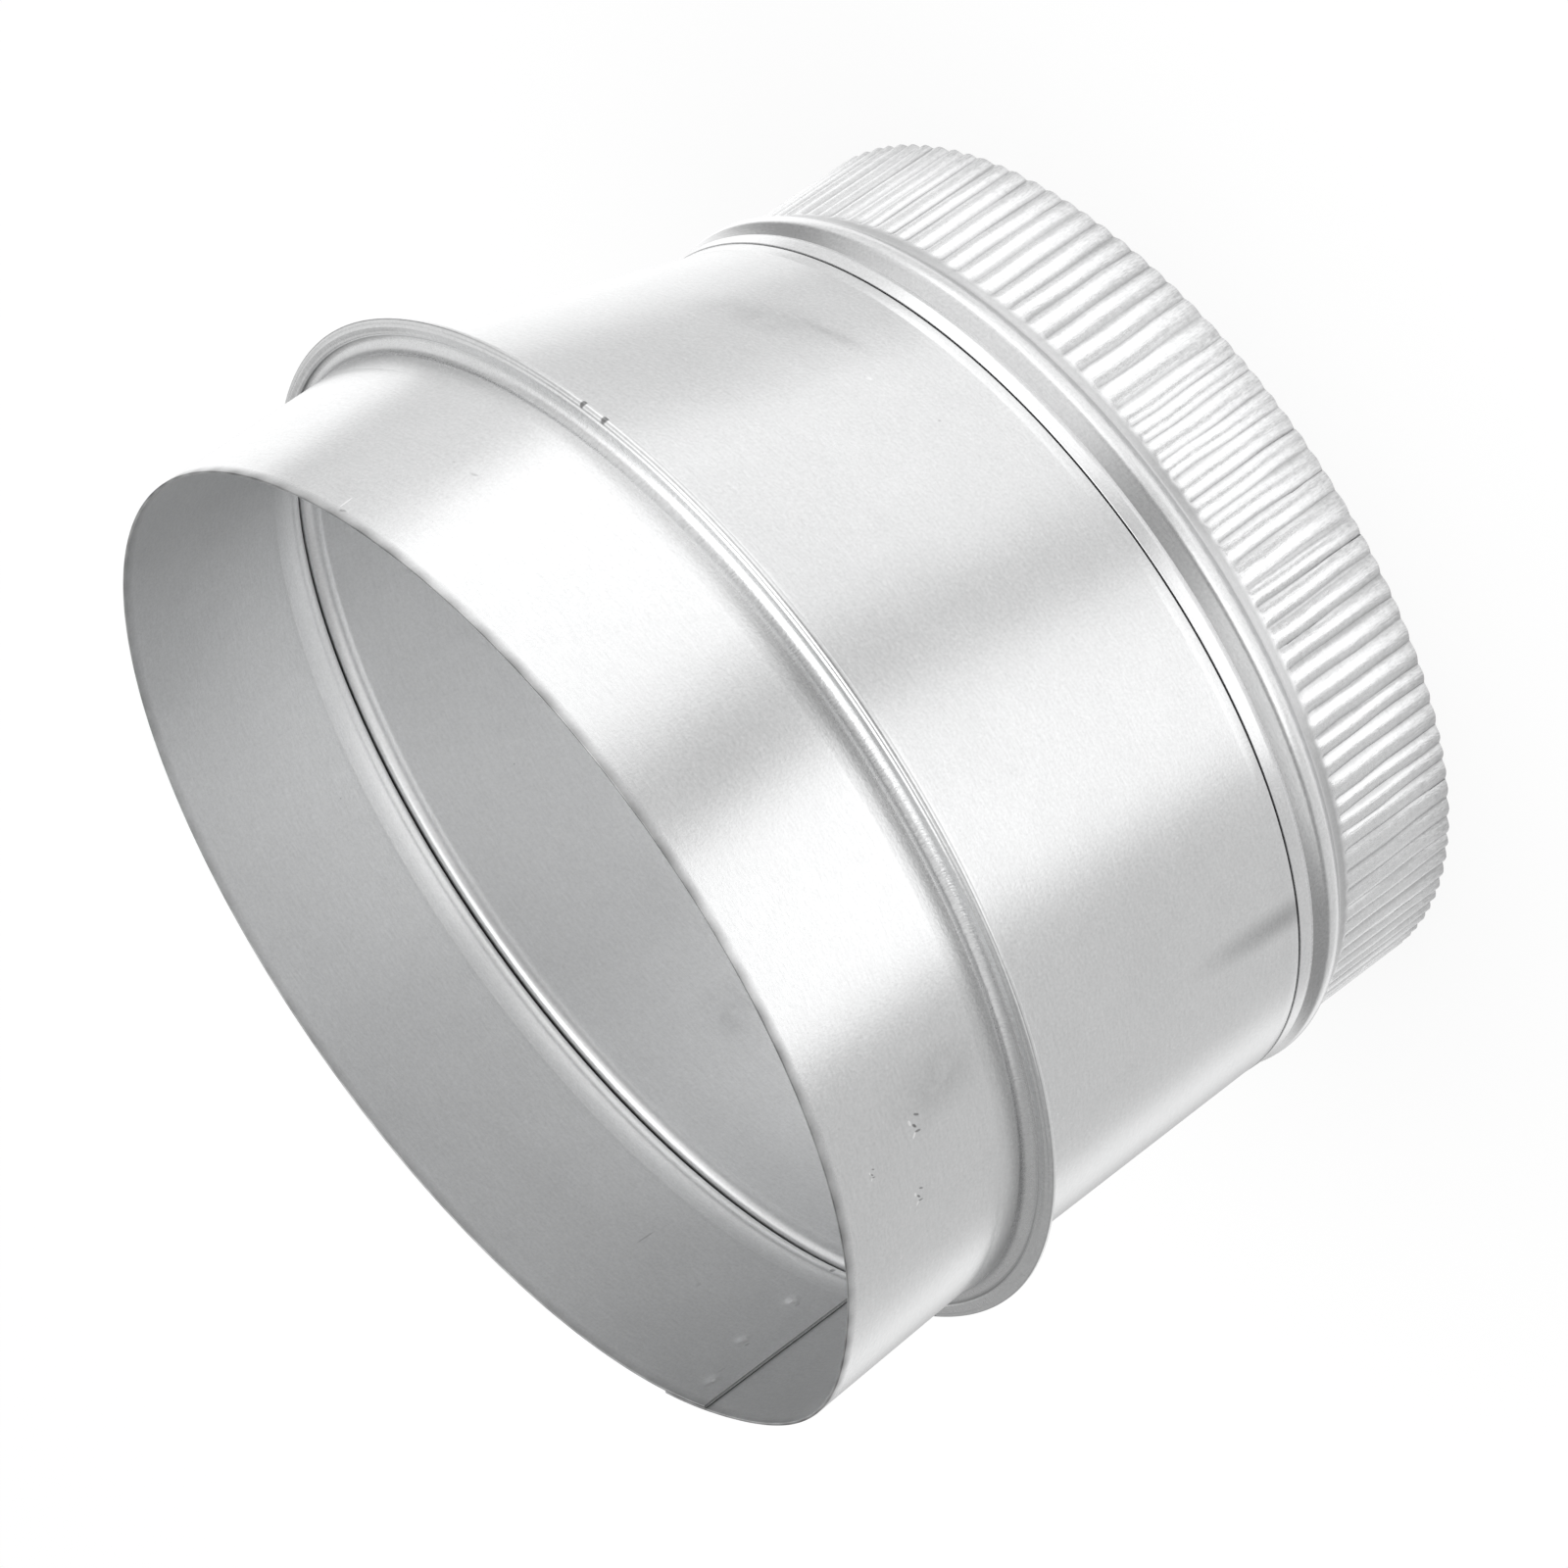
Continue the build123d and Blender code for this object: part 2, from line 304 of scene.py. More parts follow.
def large_collar():
    """Collar wall with its lapped seam, welds and fillet, down to the flange inside the hem."""
    collar_r = MOUTH_BORE_R + SHEET / 2
    flared_r = collar_r + FLARE_REACH
    line = bent_line(
        [
            (collar_r, MOUTH_Z),
            (collar_r, COLLAR_FLANGE_Z + FLARE_HEIGHT),
            (flared_r, COLLAR_FLANGE_Z + COLLAR_FILLET + 0.4),
            (flared_r, COLLAR_FLANGE_Z),
            (FLANGE_EDGE_R, COLLAR_FLANGE_Z),
        ],
        bends=[24.0, 3.0, COLLAR_FILLET],
        steps=[5, 2, 11],
    )
    line = refine(line, longest=2.0)
    roller_knots = ROLLER_LINE + np.arange(-0.8, 0.9, 0.4)
    weld_knots = [place + np.arange(-2.0, 2.1, 0.5) for _, place in COLLAR_WELDS]
    line = with_knots(line, np.concatenate([roller_knots, *weld_knots]))
    line = edge_knots(line, (0, -EDGE_CHAMFER), (-EDGE_CHAMFER, 0))
    along = lengths_along(line)
    angles = lap_angles(COLLAR_SEAM, math.degrees(COLLAR_LAP / MOUTH_BORE_R), COLLAR_JOGGLE)
    turned = COLLAR_SEAM - angles
    outward = np.repeat(lap_rise(turned, COLLAR_JOGGLE)[None, :], len(line), axis=0)
    swell = np.sin(np.pi * np.clip((turned - (360 - COLLAR_JOGGLE)) / COLLAR_JOGGLE, 0, 1)) ** 2
    outward += MOUTH_BULGE * swell[None, :] * np.clip(1 - along / BULGE_LENGTH, 0, 1)[:, None]
    on_wall = smooth_step((WALL_LENGTH - along) / WALL_FADE)[:, None]
    outward += ripple(angles, along, COLLAR_RIPPLE, COLLAR_RIPPLE_SEED) * on_wall
    outward -= ROLLER_DEPTH * near(along, ROLLER_LINE, ROLLER_WIDTH)[:, None]
    for angle, place in COLLAR_WELDS:
        outward += WELD_HEIGHT * dent(angles, along, angle, place, WELD_R, WELD_R, MOUTH_BORE_R)
        pit = angle + WELD_PIT_TURN, place - WELD_R
        outward -= WELD_PIT_DEPTH * dent(angles, along, *pit, WELD_PIT_R, WELD_PIT_R, MOUTH_BORE_R)
    for angle, place, depth in COLLAR_DENTS:
        outward -= depth * dent(angles, along, angle, place, *DENT_SIZE, MOUTH_BORE_R)
    # Painted shade along the lap line inside, in the folded flange and under the hem, and a darker line
    # at the cut rim
    at_seam = (near(turned, 360, LAP_LINE) + near(turned, 0, INNER_EDGE_LINE))[None, :]
    at_seam = at_seam * smooth_step(LAP_SHADE_END - along)[:, None]
    radii = line[:, 0, None]
    in_fillet = smooth_step((radii - flared_r - 1.25) / 0.5)
    under_hem = smooth_step((radii - SEAM_R + HEM_WIDTH + 0.5) / 0.4)
    rim = near(along, 0, CUT_LINE)[:, None] * uneven(angles, 0.25, *RAGGED_WAVES)
    inner_shade_and_edges = np.maximum(LAP_LINE_SHADE * at_seam, FILLET_SHADE * in_fillet)
    inner_shade_and_edges = np.maximum(inner_shade_and_edges, RIM_INSIDE_DARK * rim)
    outer_shade_and_edges = np.maximum(RIM_OUTSIDE_DARK * rim, UNDER_HEM_SHADE * under_hem)
    return sheet_mesh(
        "collar_sheet",
        line,
        angles,
        np.zeros(len(line)),
        -outward,
        MOUTH_BORE_R,
        closed=False,
        shade_and_edges=(inner_shade_and_edges, outer_shade_and_edges),
        scuff=near(along, SCUFFED_AT, SCUFFED_WIDTH)[:, None] * uneven(angles, 0.35, 3),
    )


# Tapered body, with its welds under one another
BODY_SEAM = 170.0
BODY_LAP = 12.0
BODY_JOGGLE = 8.0
BODY_RIPPLE = 0.06
BODY_RIPPLE_SEED = 5
BODY_RING_R = 96.0
BODY_WELD_ANGLE = 163.7
BODY_WELD_HEIGHTS = (93.9, 76.9, 59.9)
BODY_WELD_R = 1.3
BODY_WELD_DEPTH = 0.16
TAPER_TOP_DROP = 3.2
TAPER_FOOT_RISE = 2.6
STEP_HEIGHT = 0.42
SPIGOT_INSET = 0.6
SPIGOT_LENGTH = 3.0

# Painted shade in the body's gap at the lip, at its hem edge and along its lap edge, from 0 to 1
LIP_GAP_SHADE = 0.5
HEM_EDGE_SHADE = 0.55
LAP_EDGE_SHADE = 0.6
LAP_EDGE_LINE = 0.2


def tapered_body():
    """Hem folded over the flange, rim, eccentric taper and the spigot inside the lip."""
    hem_r = SEAM_R - SHEET / 2
    flange_z = COLLAR_FLANGE_Z - SHEET - FOLD_GAP
    wall_r = MOUTH_BORE_R + SHEET / 2
    throat_r = THROAT_BORE_R + SHEET / 2
    step_z = LIP_TOP_Z + STEP_HEIGHT
    taper_top_z = flange_z - TAPER_TOP_DROP
    taper_bottom_z = LIP_TOP_Z + TAPER_FOOT_RISE
    line = bent_line(
        [
            (SEAM_R - HEM_WIDTH, HEM_Z - 0.14),
            (SEAM_R - HEM_WIDTH + 0.34, HEM_Z + 0.08),
            (SEAM_R - HEM_WIDTH + 0.8, HEM_Z + 0.02),
            (SEAM_R - 1.3, HEM_Z),
            (SEAM_R - 0.95, HEM_Z - 0.26),
            (hem_r, HEM_Z - 0.32),
            (hem_r, flange_z),
            (wall_r, flange_z),
            (wall_r, taper_top_z),
            (throat_r, taper_bottom_z),
            (throat_r, step_z + 0.1),
            (throat_r - SPIGOT_INSET, step_z - 0.2),
            (throat_r - SPIGOT_INSET, LIP_TOP_Z - SPIGOT_LENGTH),
        ],
        bends=[0.3, 0.5, 0.25, 0.2, 0.35, 0.35, 2.3, 6.0, 3.0, 0.1, 0.1],
        steps=[4, 3, 3, 3, 7, 6, 9, 4, 3, 2, 2],
    )
    line = refine(line, longest=2.6)
    line = edge_knots(line, (EDGE_CHAMFER, 0.03), (0, EDGE_CHAMFER))
    radii = line[:, 0]
    heights = line[:, 1]
    lap_angle = math.degrees(BODY_LAP / MOUTH_BORE_R)
    angles = lap_angles(BODY_SEAM, lap_angle, BODY_JOGGLE)
    turned = BODY_SEAM - angles
    along = lengths_along(line)
    on_wall = smooth_step((flange_z - 2.2 - heights) / 2) * smooth_step((heights - LIP_TOP_Z - 1.2) / 2)
    waves = ripple(angles, along, BODY_RIPPLE, BODY_RIPPLE_SEED)
    outward = (lap_rise(turned, BODY_JOGGLE)[None, :] + waves) * on_wall[:, None]
    for place in np.interp(BODY_WELD_HEIGHTS, heights[::-1], along[::-1]):
        pit = dent(angles, along, BODY_WELD_ANGLE, place, BODY_WELD_R, BODY_WELD_R, BODY_RING_R)
        outward -= BODY_WELD_DEPTH * pit
    rise = np.clip((heights - taper_bottom_z) / (taper_top_z - taper_bottom_z), 0, 1)
    # Painted shade on the flange inside the fold, in the gap at the lip, at the hem's cut edge and along
    # the lap edge
    inner_shade_and_edges = smooth_step((radii - wall_r - 1.75) / 0.45) * (heights < HEM_Z - 0.4)
    in_gap = smooth_step((step_z + 0.12 - heights) / 0.15) * (radii < throat_r + 0.1)
    gap_and_edge_shade = np.maximum(LIP_GAP_SHADE * in_gap, HEM_EDGE_SHADE * near(along, 0, CUT_LINE))
    at_lap_edge = near(turned, 360 + lap_angle, LAP_EDGE_LINE)
    outer_shade_and_edges = gap_and_edge_shade[:, None] + LAP_EDGE_SHADE * at_lap_edge[None, :] * on_wall[:, None]
    rough_edge = near(along, 0.5, 0.9)[:, None] * uneven(angles, 0.5, 5)
    return sheet_mesh(
        "body_sheet",
        line,
        angles,
        SMALL_X * (1 - rise),
        -outward,
        BODY_RING_R,
        closed=False,
        shade_and_edges=(inner_shade_and_edges[:, None], np.clip(outer_shade_and_edges, 0, 1)),
        scuff=rough_edge,
    )


# Crimped collar. The crimps differ a little in width, depth and start, and each wanders
# along its length, in waves of (share, mm to a radian)
CRIMPS = 125
CRIMP_DEPTH = 0.85
CRIMP_LENGTH = 26.4
CRIMP_CREST_R = 89.8
CRIMP_COLUMNS = np.array((0.0, 0.07, 0.17, 0.31, 0.5, 0.69, 0.83, 0.93))
CRIMP_CREST_POWER = 1.7
CRIMP_START = 0.1
CRIMP_RUN_IN = 1.4
WIDTH_SPREAD = 0.3
DEPTH_SPREAD = 0.32
START_SPREAD = 0.3
WANDER_WAVES = ((0.10, 7.0), (0.05, 2.6))
WANDER_DEPTH = 0.35
WANDER_TURN = 1.1
FOOT_R = 89.4
GROOVE_R = 90.9
BEAD_CREST_Z = 32.0
BEAD_ROUND = 3.6
UPPER_TURN = math.radians(21)
LOWER_TURN = math.radians(45)
LIP_FOOT_Z = 36.7
LIP_STAND = 0.15
LIP_TILT = 0.06

# Painted shade in the crimped collar's valleys, groove, under the bead and where the crimps start, and a
# darker lip, cut end and low end, from 0 to 1
VALLEY_SHADE = 0.34
VALLEY_WIDTH = 0.09
CUT_END_DARK = 0.4
LOW_END_DARK = 0.08
LIP_DARK = 0.04
UNDER_BEAD_SHADE = 0.22
UNDER_BEAD_Z = 30.8
CRIMP_START_SHADE = 0.35
GROOVE_SHADE = 0.2


def crimped_collar():
    """Lip, groove, rounded stop bead and crimps down to the cut end."""
    lip_r = THROAT_BORE_R + SHEET / 2 + LIP_STAND
    crest_r = BEAD_R - SHEET / 2
    upper_corner_z = BEAD_CREST_Z + BEAD_ROUND * math.tan(UPPER_TURN / 2)
    lower_corner_z = BEAD_CREST_Z - BEAD_ROUND * math.tan(LOWER_TURN / 2)
    groove_z = upper_corner_z + (crest_r - GROOVE_R) / math.tan(UPPER_TURN)
    foot_z = lower_corner_z - (crest_r - FOOT_R) / math.tan(LOWER_TURN)
    line = bent_line(
        [
            (lip_r - LIP_TILT, LIP_TOP_Z),
            (lip_r + LIP_TILT, LIP_FOOT_Z),
            (GROOVE_R, groove_z),
            (crest_r, upper_corner_z),
            (crest_r, lower_corner_z),
            (FOOT_R, foot_z),
            (FOOT_R, 0),
        ],
        bends=[0.35, 0.3, BEAD_ROUND, BEAD_ROUND, 1.5],
        steps=[3, 3, 8, 9, 4],
    )
    line = refine(line, longest=4.0)
    foot_place = lengths_along(line)[-1] - CRIMP_LENGTH
    line = with_knots(line, foot_place + CRIMP_START + CRIMP_RUN_IN * np.linspace(0, 1, 5))
    line = edge_knots(line, (0, -EDGE_CHAMFER), (0, EDGE_CHAMFER))
    heights = line[:, 1]
    below = CRIMP_LENGTH - heights
    widths = 1 + WIDTH_SPREAD * (rng.random(CRIMPS) - 0.5)
    bounds = np.concatenate([[0.0], np.cumsum(widths)]) / widths.sum() * 360
    angles = (bounds[:-1, None] + np.diff(bounds)[:, None] * CRIMP_COLUMNS[None, :]).ravel()
    crest = 1 - np.abs(2 * CRIMP_COLUMNS - 1) ** CRIMP_CREST_POWER
    phases = rng.uniform(0, 2 * math.pi, (len(WANDER_WAVES), CRIMPS))
    wander = np.zeros((len(line), CRIMPS))
    for (share, length), phase in zip(WANDER_WAVES, phases):
        wander += share * np.sin(below[:, None] / length + phase)
    depths = (1 - DEPTH_SPREAD * rng.random(CRIMPS))[None, :] * (1 + WANDER_DEPTH * wander)
    crimp = (crest[None, None, :] - 1) * depths[:, :, None] * CRIMP_DEPTH
    crimp = crimp.reshape(len(line), -1) + CRIMP_CREST_R - SHEET / 2 - FOOT_R
    late = START_SPREAD * rng.random(CRIMPS).repeat(len(CRIMP_COLUMNS))
    fade = smooth_step((below[:, None] - CRIMP_START - late[None, :]) / CRIMP_RUN_IN)
    sway = (WANDER_TURN * wander * smooth_step(below / 6)[:, None]).repeat(len(CRIMP_COLUMNS), axis=1)
    # Painted shade in the crimps' valleys, the groove, under the bead and where the crimps start; the
    # lip, low end and cut end drawn a little darker
    valley = near(CRIMP_COLUMNS, 0.0, VALLEY_WIDTH) + near(CRIMP_COLUMNS, 1.0, VALLEY_WIDTH)
    valley = np.tile(valley, CRIMPS)[None, :]
    low_end = LOW_END_DARK * smooth_step((12 - heights) / 8)
    rings = CRIMP_START_SHADE * near(heights, CRIMP_LENGTH, 0.7)
    rings += GROOVE_SHADE * near(heights, groove_z + 0.3, 0.35)
    rings += LIP_DARK * (heights > LIP_FOOT_Z - 0.3)
    rings += UNDER_BEAD_SHADE * smooth_step((UNDER_BEAD_Z - heights) / 2.0) * (heights > CRIMP_LENGTH)
    rings = np.maximum(rings, CUT_END_DARK * near(heights, 0, 0.1))
    outer_shade_and_edges = np.maximum(VALLEY_SHADE * valley * fade + low_end[:, None], rings[:, None])
    worn = (0.35 + 0.65 * smooth_step((below - 16) / 10))[:, None] * fade * (1 - 0.6 * valley)
    return sheet_mesh(
        "crimped_sheet",
        line,
        angles,
        np.full(len(line), SMALL_X),
        -crimp * fade,
        FOOT_R,
        closed=True,
        shade_and_edges=(0.0, outer_shade_and_edges),
        scuff=worn,
        sway=sway,
    )


def add_math(tree, operation, *values):
    """Math node whose inputs are sockets or numbers; gives its output socket."""
    node = tree.nodes.new("ShaderNodeMath")
    node.operation = operation
    for socket, value in zip(node.inputs, values):
        if isinstance(value, (int, float)):
            socket.default_value = value
        else:
            tree.links.new(value, socket)
    return node.outputs[0]


def total(tree, *values):
    """Sum of several sockets or numbers."""
    result = values[0]
    for value in values[1:]:
        result = add_math(tree, "ADD", result, value)
    return result


def swing(tree, value, amount):
    """A 0 to 1 texture value as a swing about zero."""
    return add_math(tree, "MULTIPLY", add_math(tree, "SUBTRACT", value, 0.5), amount)


def noise(tree, vector, scale, detail, roughness, distortion=0.0):
    """Noise texture's value socket at a scale."""
    node = tree.nodes.new("ShaderNodeTexNoise")
    node.inputs["Scale"].default_value = scale
    node.inputs["Detail"].default_value = detail
    node.inputs["Roughness"].default_value = roughness
    node.inputs["Distortion"].default_value = distortion
    tree.links.new(vector, node.inputs["Vector"])
    return node.outputs[0]


def stretched(tree, vector, scale):
    """Vector scaled by its own factor on each axis."""
    node = tree.nodes.new("ShaderNodeMapping")
    node.inputs["Scale"].default_value = scale
    tree.links.new(vector, node.inputs["Vector"])
    return node.outputs[0]


def map_range(tree, value, low, high, to_low, to_high):
    """Value carried from one range to another, with smooth ends."""
    node = tree.nodes.new("ShaderNodeMapRange")
    node.interpolation_type = "SMOOTHSTEP"
    tree.links.new(value, node.inputs["Value"])
    for name, number in (("From Min", low), ("From Max", high), ("To Min", to_low), ("To Max", to_high)):
        node.inputs[name].default_value = number
    return node.outputs[0]


def attribute(tree, name):
    """Value of a named attribute of the mesh."""
    node = tree.nodes.new("ShaderNodeAttribute")
    node.attribute_name = name
    return node.outputs["Fac"]


def specks(tree, uv, scale, size, sparseness):
    """Round specks in the cells that pass the sparseness: 1 inside, 0 outside."""
    node = tree.nodes.new("ShaderNodeTexVoronoi")
    node.inputs["Scale"].default_value = scale
    tree.links.new(uv, node.inputs["Vector"])
    inside = map_range(tree, node.outputs["Distance"], size * 0.5, size, 1.0, 0.0)
    chosen = add_math(tree, "GREATER_THAN", node.outputs["Color"], sparseness)
    return add_math(tree, "MULTIPLY", inside, chosen)


def smear(tree, uv, place, size, angle, soft):
    """Mask of one oval mark on the sheet, at a UV place and of a half size in units of UV."""
    node = tree.nodes.new("ShaderNodeMapping")
    node.vector_type = "TEXTURE"
    node.inputs["Location"].default_value = (*place, 0)
    node.inputs["Rotation"].default_value = (0, 0, math.radians(angle))
    node.inputs["Scale"].default_value = (*size, 1)
    tree.links.new(uv, node.inputs["Vector"])
    length = tree.nodes.new("ShaderNodeVectorMath")
    length.operation = "LENGTH"
    tree.links.new(node.outputs[0], length.inputs[0])
    return map_range(tree, length.outputs["Value"], 1.0 - soft, 1.0, 1.0, 0.0)


def ring_place(seam, angle, radius, along):
    """UV place of an angle in degrees and a length along the line in mm."""
    return math.radians((seam - angle) % 360) * radius / UV_UNIT, along / UV_UNIT


# Textures of the zinc, as (scale, detail, roughness, distortion), with the stretch of
# those that run one way, and the specks as (scale, size, sparseness)
PATCHES = (3.2, 4.0, 0.6)
CLOUDS = (14.0, 2.0, 0.6)
SKIN = (150.0, 2.0, 0.65, 0.3)
STREAK = (1.0, 2.0, 0.6, 0.8)
STREAK_STRETCH = (36.0, 210.0, 1.0)
BURR = (1.0, 2.0, 0.7)
BURR_STRETCH = (260.0, 60.0, 1.0)
SPECKS = (9.0, 0.022, 0.62)
SPECK_DARKNESS = 0.35
SHADE_AND_EDGE_DARKNESS = 0.88

# Marks whose softness lies in this range are broken up by the sheet's clouds. A cloud's
# value, over the first two numbers, sets the mark's strength, over the last two
PATCHY = (0.5, 0.96)
PATCHY_STRENGTH = (0.35, 0.6, 0.35, 1.0)


def galvanised(name, colour, roughness, grain, inner_painted_light, marks):
    """Zinc-coated sheet: skin-pass grain, rolling streaks, soft patches, specks and marks.

    Each mark is (place, half size, turn, softness, strength, on the inside); a positive
    strength darkens.
    """
    material = bpy.data.materials.new(name)
    material.use_nodes = True
    tree = material.node_tree
    shader = tree.nodes["Principled BSDF"]
    shader.inputs["Metallic"].default_value = 1.0
    uv_map = tree.nodes.new("ShaderNodeUVMap")
    uv_map.uv_map = "UVMap"
    uv = uv_map.outputs[0]
    shade_and_edges, scuff, inside = [attribute(tree, label) for label in ("shade_and_edges", "scuff", "inside")]
    outside = add_math(tree, "SUBTRACT", 1.0, inside)
    patches = noise(tree, uv, *PATCHES)
    clouds = noise(tree, uv, *CLOUDS)
    skin = noise(tree, uv, *SKIN)
    streak = noise(tree, stretched(tree, uv, STREAK_STRETCH), *STREAK)
    burr = noise(tree, stretched(tree, uv, BURR_STRETCH), *BURR)
    worked = add_math(tree, "MULTIPLY", scuff, add_math(tree, "SUBTRACT", burr, 0.5))
    spots = add_math(tree, "MULTIPLY", specks(tree, uv, *SPECKS), SPECK_DARKNESS)
    shine = total(
        tree,
        1.0,
        swing(tree, patches, 0.14),
        swing(tree, clouds, 0.05),
        swing(tree, skin, 0.26),
        swing(tree, streak, 0.16),
        # Painted light: the inside of the sheet drawn brighter
        add_math(tree, "MULTIPLY", inside, inner_painted_light),
        add_math(tree, "MULTIPLY", worked, 0.85),
    )
    for place, size, angle, soft, strength, on_inside in marks:
        mask = add_math(tree, "MULTIPLY", smear(tree, uv, place, size, angle, soft), strength)
        mask = add_math(tree, "MULTIPLY", mask, inside if on_inside else outside)
        if PATCHY[0] < soft < PATCHY[1]:
            mask = add_math(tree, "MULTIPLY", mask, map_range(tree, clouds, *PATCHY_STRENGTH))
        shine = add_math(tree, "SUBTRACT", shine, mask)
    shine = add_math(tree, "SUBTRACT", shine, spots)
    # Painted shade in crevices and gaps, and darker cut edges, from the mesh's darkening attribute
    shade_factor = add_math(tree, "SUBTRACT", 1.0, add_math(tree, "MULTIPLY", shade_and_edges, SHADE_AND_EDGE_DARKNESS))
    shine = add_math(tree, "MULTIPLY", shine, shade_factor)
    tint = tree.nodes.new("ShaderNodeMix")
    tint.data_type = "RGBA"
    tint.blend_type = "MULTIPLY"
    tint.inputs["Factor"].default_value = 1.0
    tint.inputs["A"].default_value = (*colour, 1.0)
    tree.links.new(shine, tint.inputs["B"])
    tree.links.new(tint.outputs["Result"], shader.inputs["Base Color"])
    rough = total(
        tree,
        roughness,
        swing(tree, patches, 0.06),
        swing(tree, skin, 0.08),
        add_math(tree, "MULTIPLY", inside, 0.10),
        add_math(tree, "MULTIPLY", scuff, 0.10),
        add_math(tree, "MULTIPLY", shade_and_edges, 0.3),
    )
    tree.links.new(rough, shader.inputs["Roughness"])
    height = total(
        tree,
        add_math(tree, "MULTIPLY", skin, grain),
        add_math(tree, "MULTIPLY", streak, 0.008),
        add_math(tree, "MULTIPLY", worked, 0.12),
    )
    bump = tree.nodes.new("ShaderNodeBump")
    bump.inputs["Strength"].default_value = 1.0
    bump.inputs["Distance"].default_value = MM
    tree.links.new(height, bump.inputs["Height"])
    tree.links.new(bump.outputs[0], shader.inputs["Normal"])
    return material


def on_collar(angle, height):
    """Place on the collar, by an angle in degrees and a height in mm."""
    return ring_place(COLLAR_SEAM, angle, MOUTH_BORE_R, MOUTH_Z - height)


# Length of the body's line through the hem and its fold, and along the taper per height
HEM_RUN = 10.4
TAPER_SLANT = 1.012


def on_body(angle, height):
    """Place on the body below its hem, by an angle in degrees and a height in mm."""
    return ring_place(BODY_SEAM, angle, BODY_RING_R, HEM_RUN + (COLLAR_FLANGE_Z - height) * TAPER_SLANT)


def on_hem(angle, along):
    """Place on the body's hem, by the length from its cut edge."""
    return ring_place(BODY_SEAM, angle, BODY_RING_R, along)


# Scratches of one cluster of pits: share of the spread, turn, strength
PIT_SCRATCHES = ((0.0, 30, 0.6), (0.7, 75, 0.5), (-0.6, 10, -0.5), (0.9, -35, -0.4), (-1.0, 50, 0.5))
PIT_SOFTNESS = 0.5


def pits(place, spread):
    """Cluster of small scratches with bright burrs about a place, spread in units of UV."""
    marks = []
    for share, turn, strength in PIT_SCRATCHES:
        at = (place[0] + spread * share, place[1] + spread * 0.6 * math.sin(4 * share))
        size = (spread * 0.42, spread * 0.16)
        marks.append((at, size, turn, PIT_SOFTNESS, strength, False))
    return marks


# Marks of the photographed piece: place, half size, turn, softness, strength, on the inside
COLLAR_MARKS = (
    (on_collar(-39.0, 145.8), (0.0025, 0.019), 4, 0.5, -0.35, False),
    (on_collar(-39.8, 147.6), (0.009, 0.004), 20, 0.5, 0.30, False),
    (on_collar(-46.0, 127.2), (0.012, 0.004), 12, 0.7, 0.22, False),
    (on_collar(-43.0, 127.4), (0.006, 0.003), 0, 0.7, 0.18, False),
    (on_collar(-126.5, 123.0), (0.10, 0.15), 0, 0.95, 0.15, False),
    *pits(on_collar(-129.5, 129.9), 0.020),
    *pits(on_collar(-131.5, 140.5), 0.010),
    *pits(on_collar(-138.5, 132.0), 0.016),
    (on_collar(131.5, 124.8), (0.0022, 0.028), 3, 0.5, 0.22, True),
    (on_collar(141.5, 126.1), (0.007, 0.006), 0, 0.6, 0.15, True),
    (on_collar(156.0, 140.0), (0.004, 0.012), 10, 0.6, 0.18, True),
    # Painted highlights on the three spot welds inside the collar
    (on_collar(156.5, 142.7), (0.007, 0.006), 0, 0.8, -0.9, True),
    (on_collar(153.8, 131.4), (0.008, 0.006), 0, 0.8, -1.1, True),
    (on_collar(153.4, 118.7), (0.009, 0.007), 0, 0.8, -1.3, True),
    (on_collar(154.6, 119.4), (0.006, 0.008), 0, 0.7, 0.3, True),
    (on_collar(155.0, 132.4), (0.005, 0.007), 0, 0.7, 0.25, True),
    (on_collar(153.0, 108.6), (0.008, 0.007), 0, 0.6, 0.7, True),
)
BODY_MARKS = (
    (on_body(-42.0, 62.0), (0.20, 0.08), 20, 0.95, 0.14, False),
    (on_body(-49.0, 56.9), (0.10, 0.022), 10, 0.9, 0.14, False),
    (on_body(-136.5, 46.0), (0.055, 0.26), -4, 1.0, 0.34, False),
    (on_body(-56.5, 60.4), (0.008, 0.007), 0, 0.8, -0.22, False),
    (on_body(-51.5, 57.8), (0.005, 0.004), 0, 0.6, 0.22, False),
    (on_body(-65.0, 56.9), (0.004, 0.004), 0, 0.6, 0.22, False),
    (on_hem(-49.5, 3.2), (0.006, 0.010), 0, 0.5, 0.7, False),
    (on_hem(-52.5, 3.2), (0.007, 0.010), 0, 0.5, 0.7, False),
    (on_body(114.0, 80.9), (0.11, 0.07), 20, 0.9, 0.16, True),
    (on_body(119.5, 75.9), (0.06, 0.03), 0, 0.9, 0.12, True),
)


def softbox(tree, azimuth, centre, half_width, edge, strength):
    """Brightness of one tall softbox, by direction round the object in degrees."""
    away = add_math(tree, "SUBTRACT", azimuth, centre)
    away = add_math(tree, "ABSOLUTE", add_math(tree, "WRAP", away, 180.0, -180.0))
    return map_range(tree, away, half_width - edge, half_width + edge, strength, 0.0)


# Studio seen in the metal: tall softboxes round the object, as (azimuth, half width, edge, brightness)
SOFTBOXES = (
    (240, 26, 6, 0.82),
    (322, 34, 9, 0.72),
    (9, 24, 12, 0.22),
    (64, 25, 5, 0.62),
    (95, 17, 8, -0.15),
    (127, 10, 7, 0.38),
)
STUDIO_LEVEL = 0.66

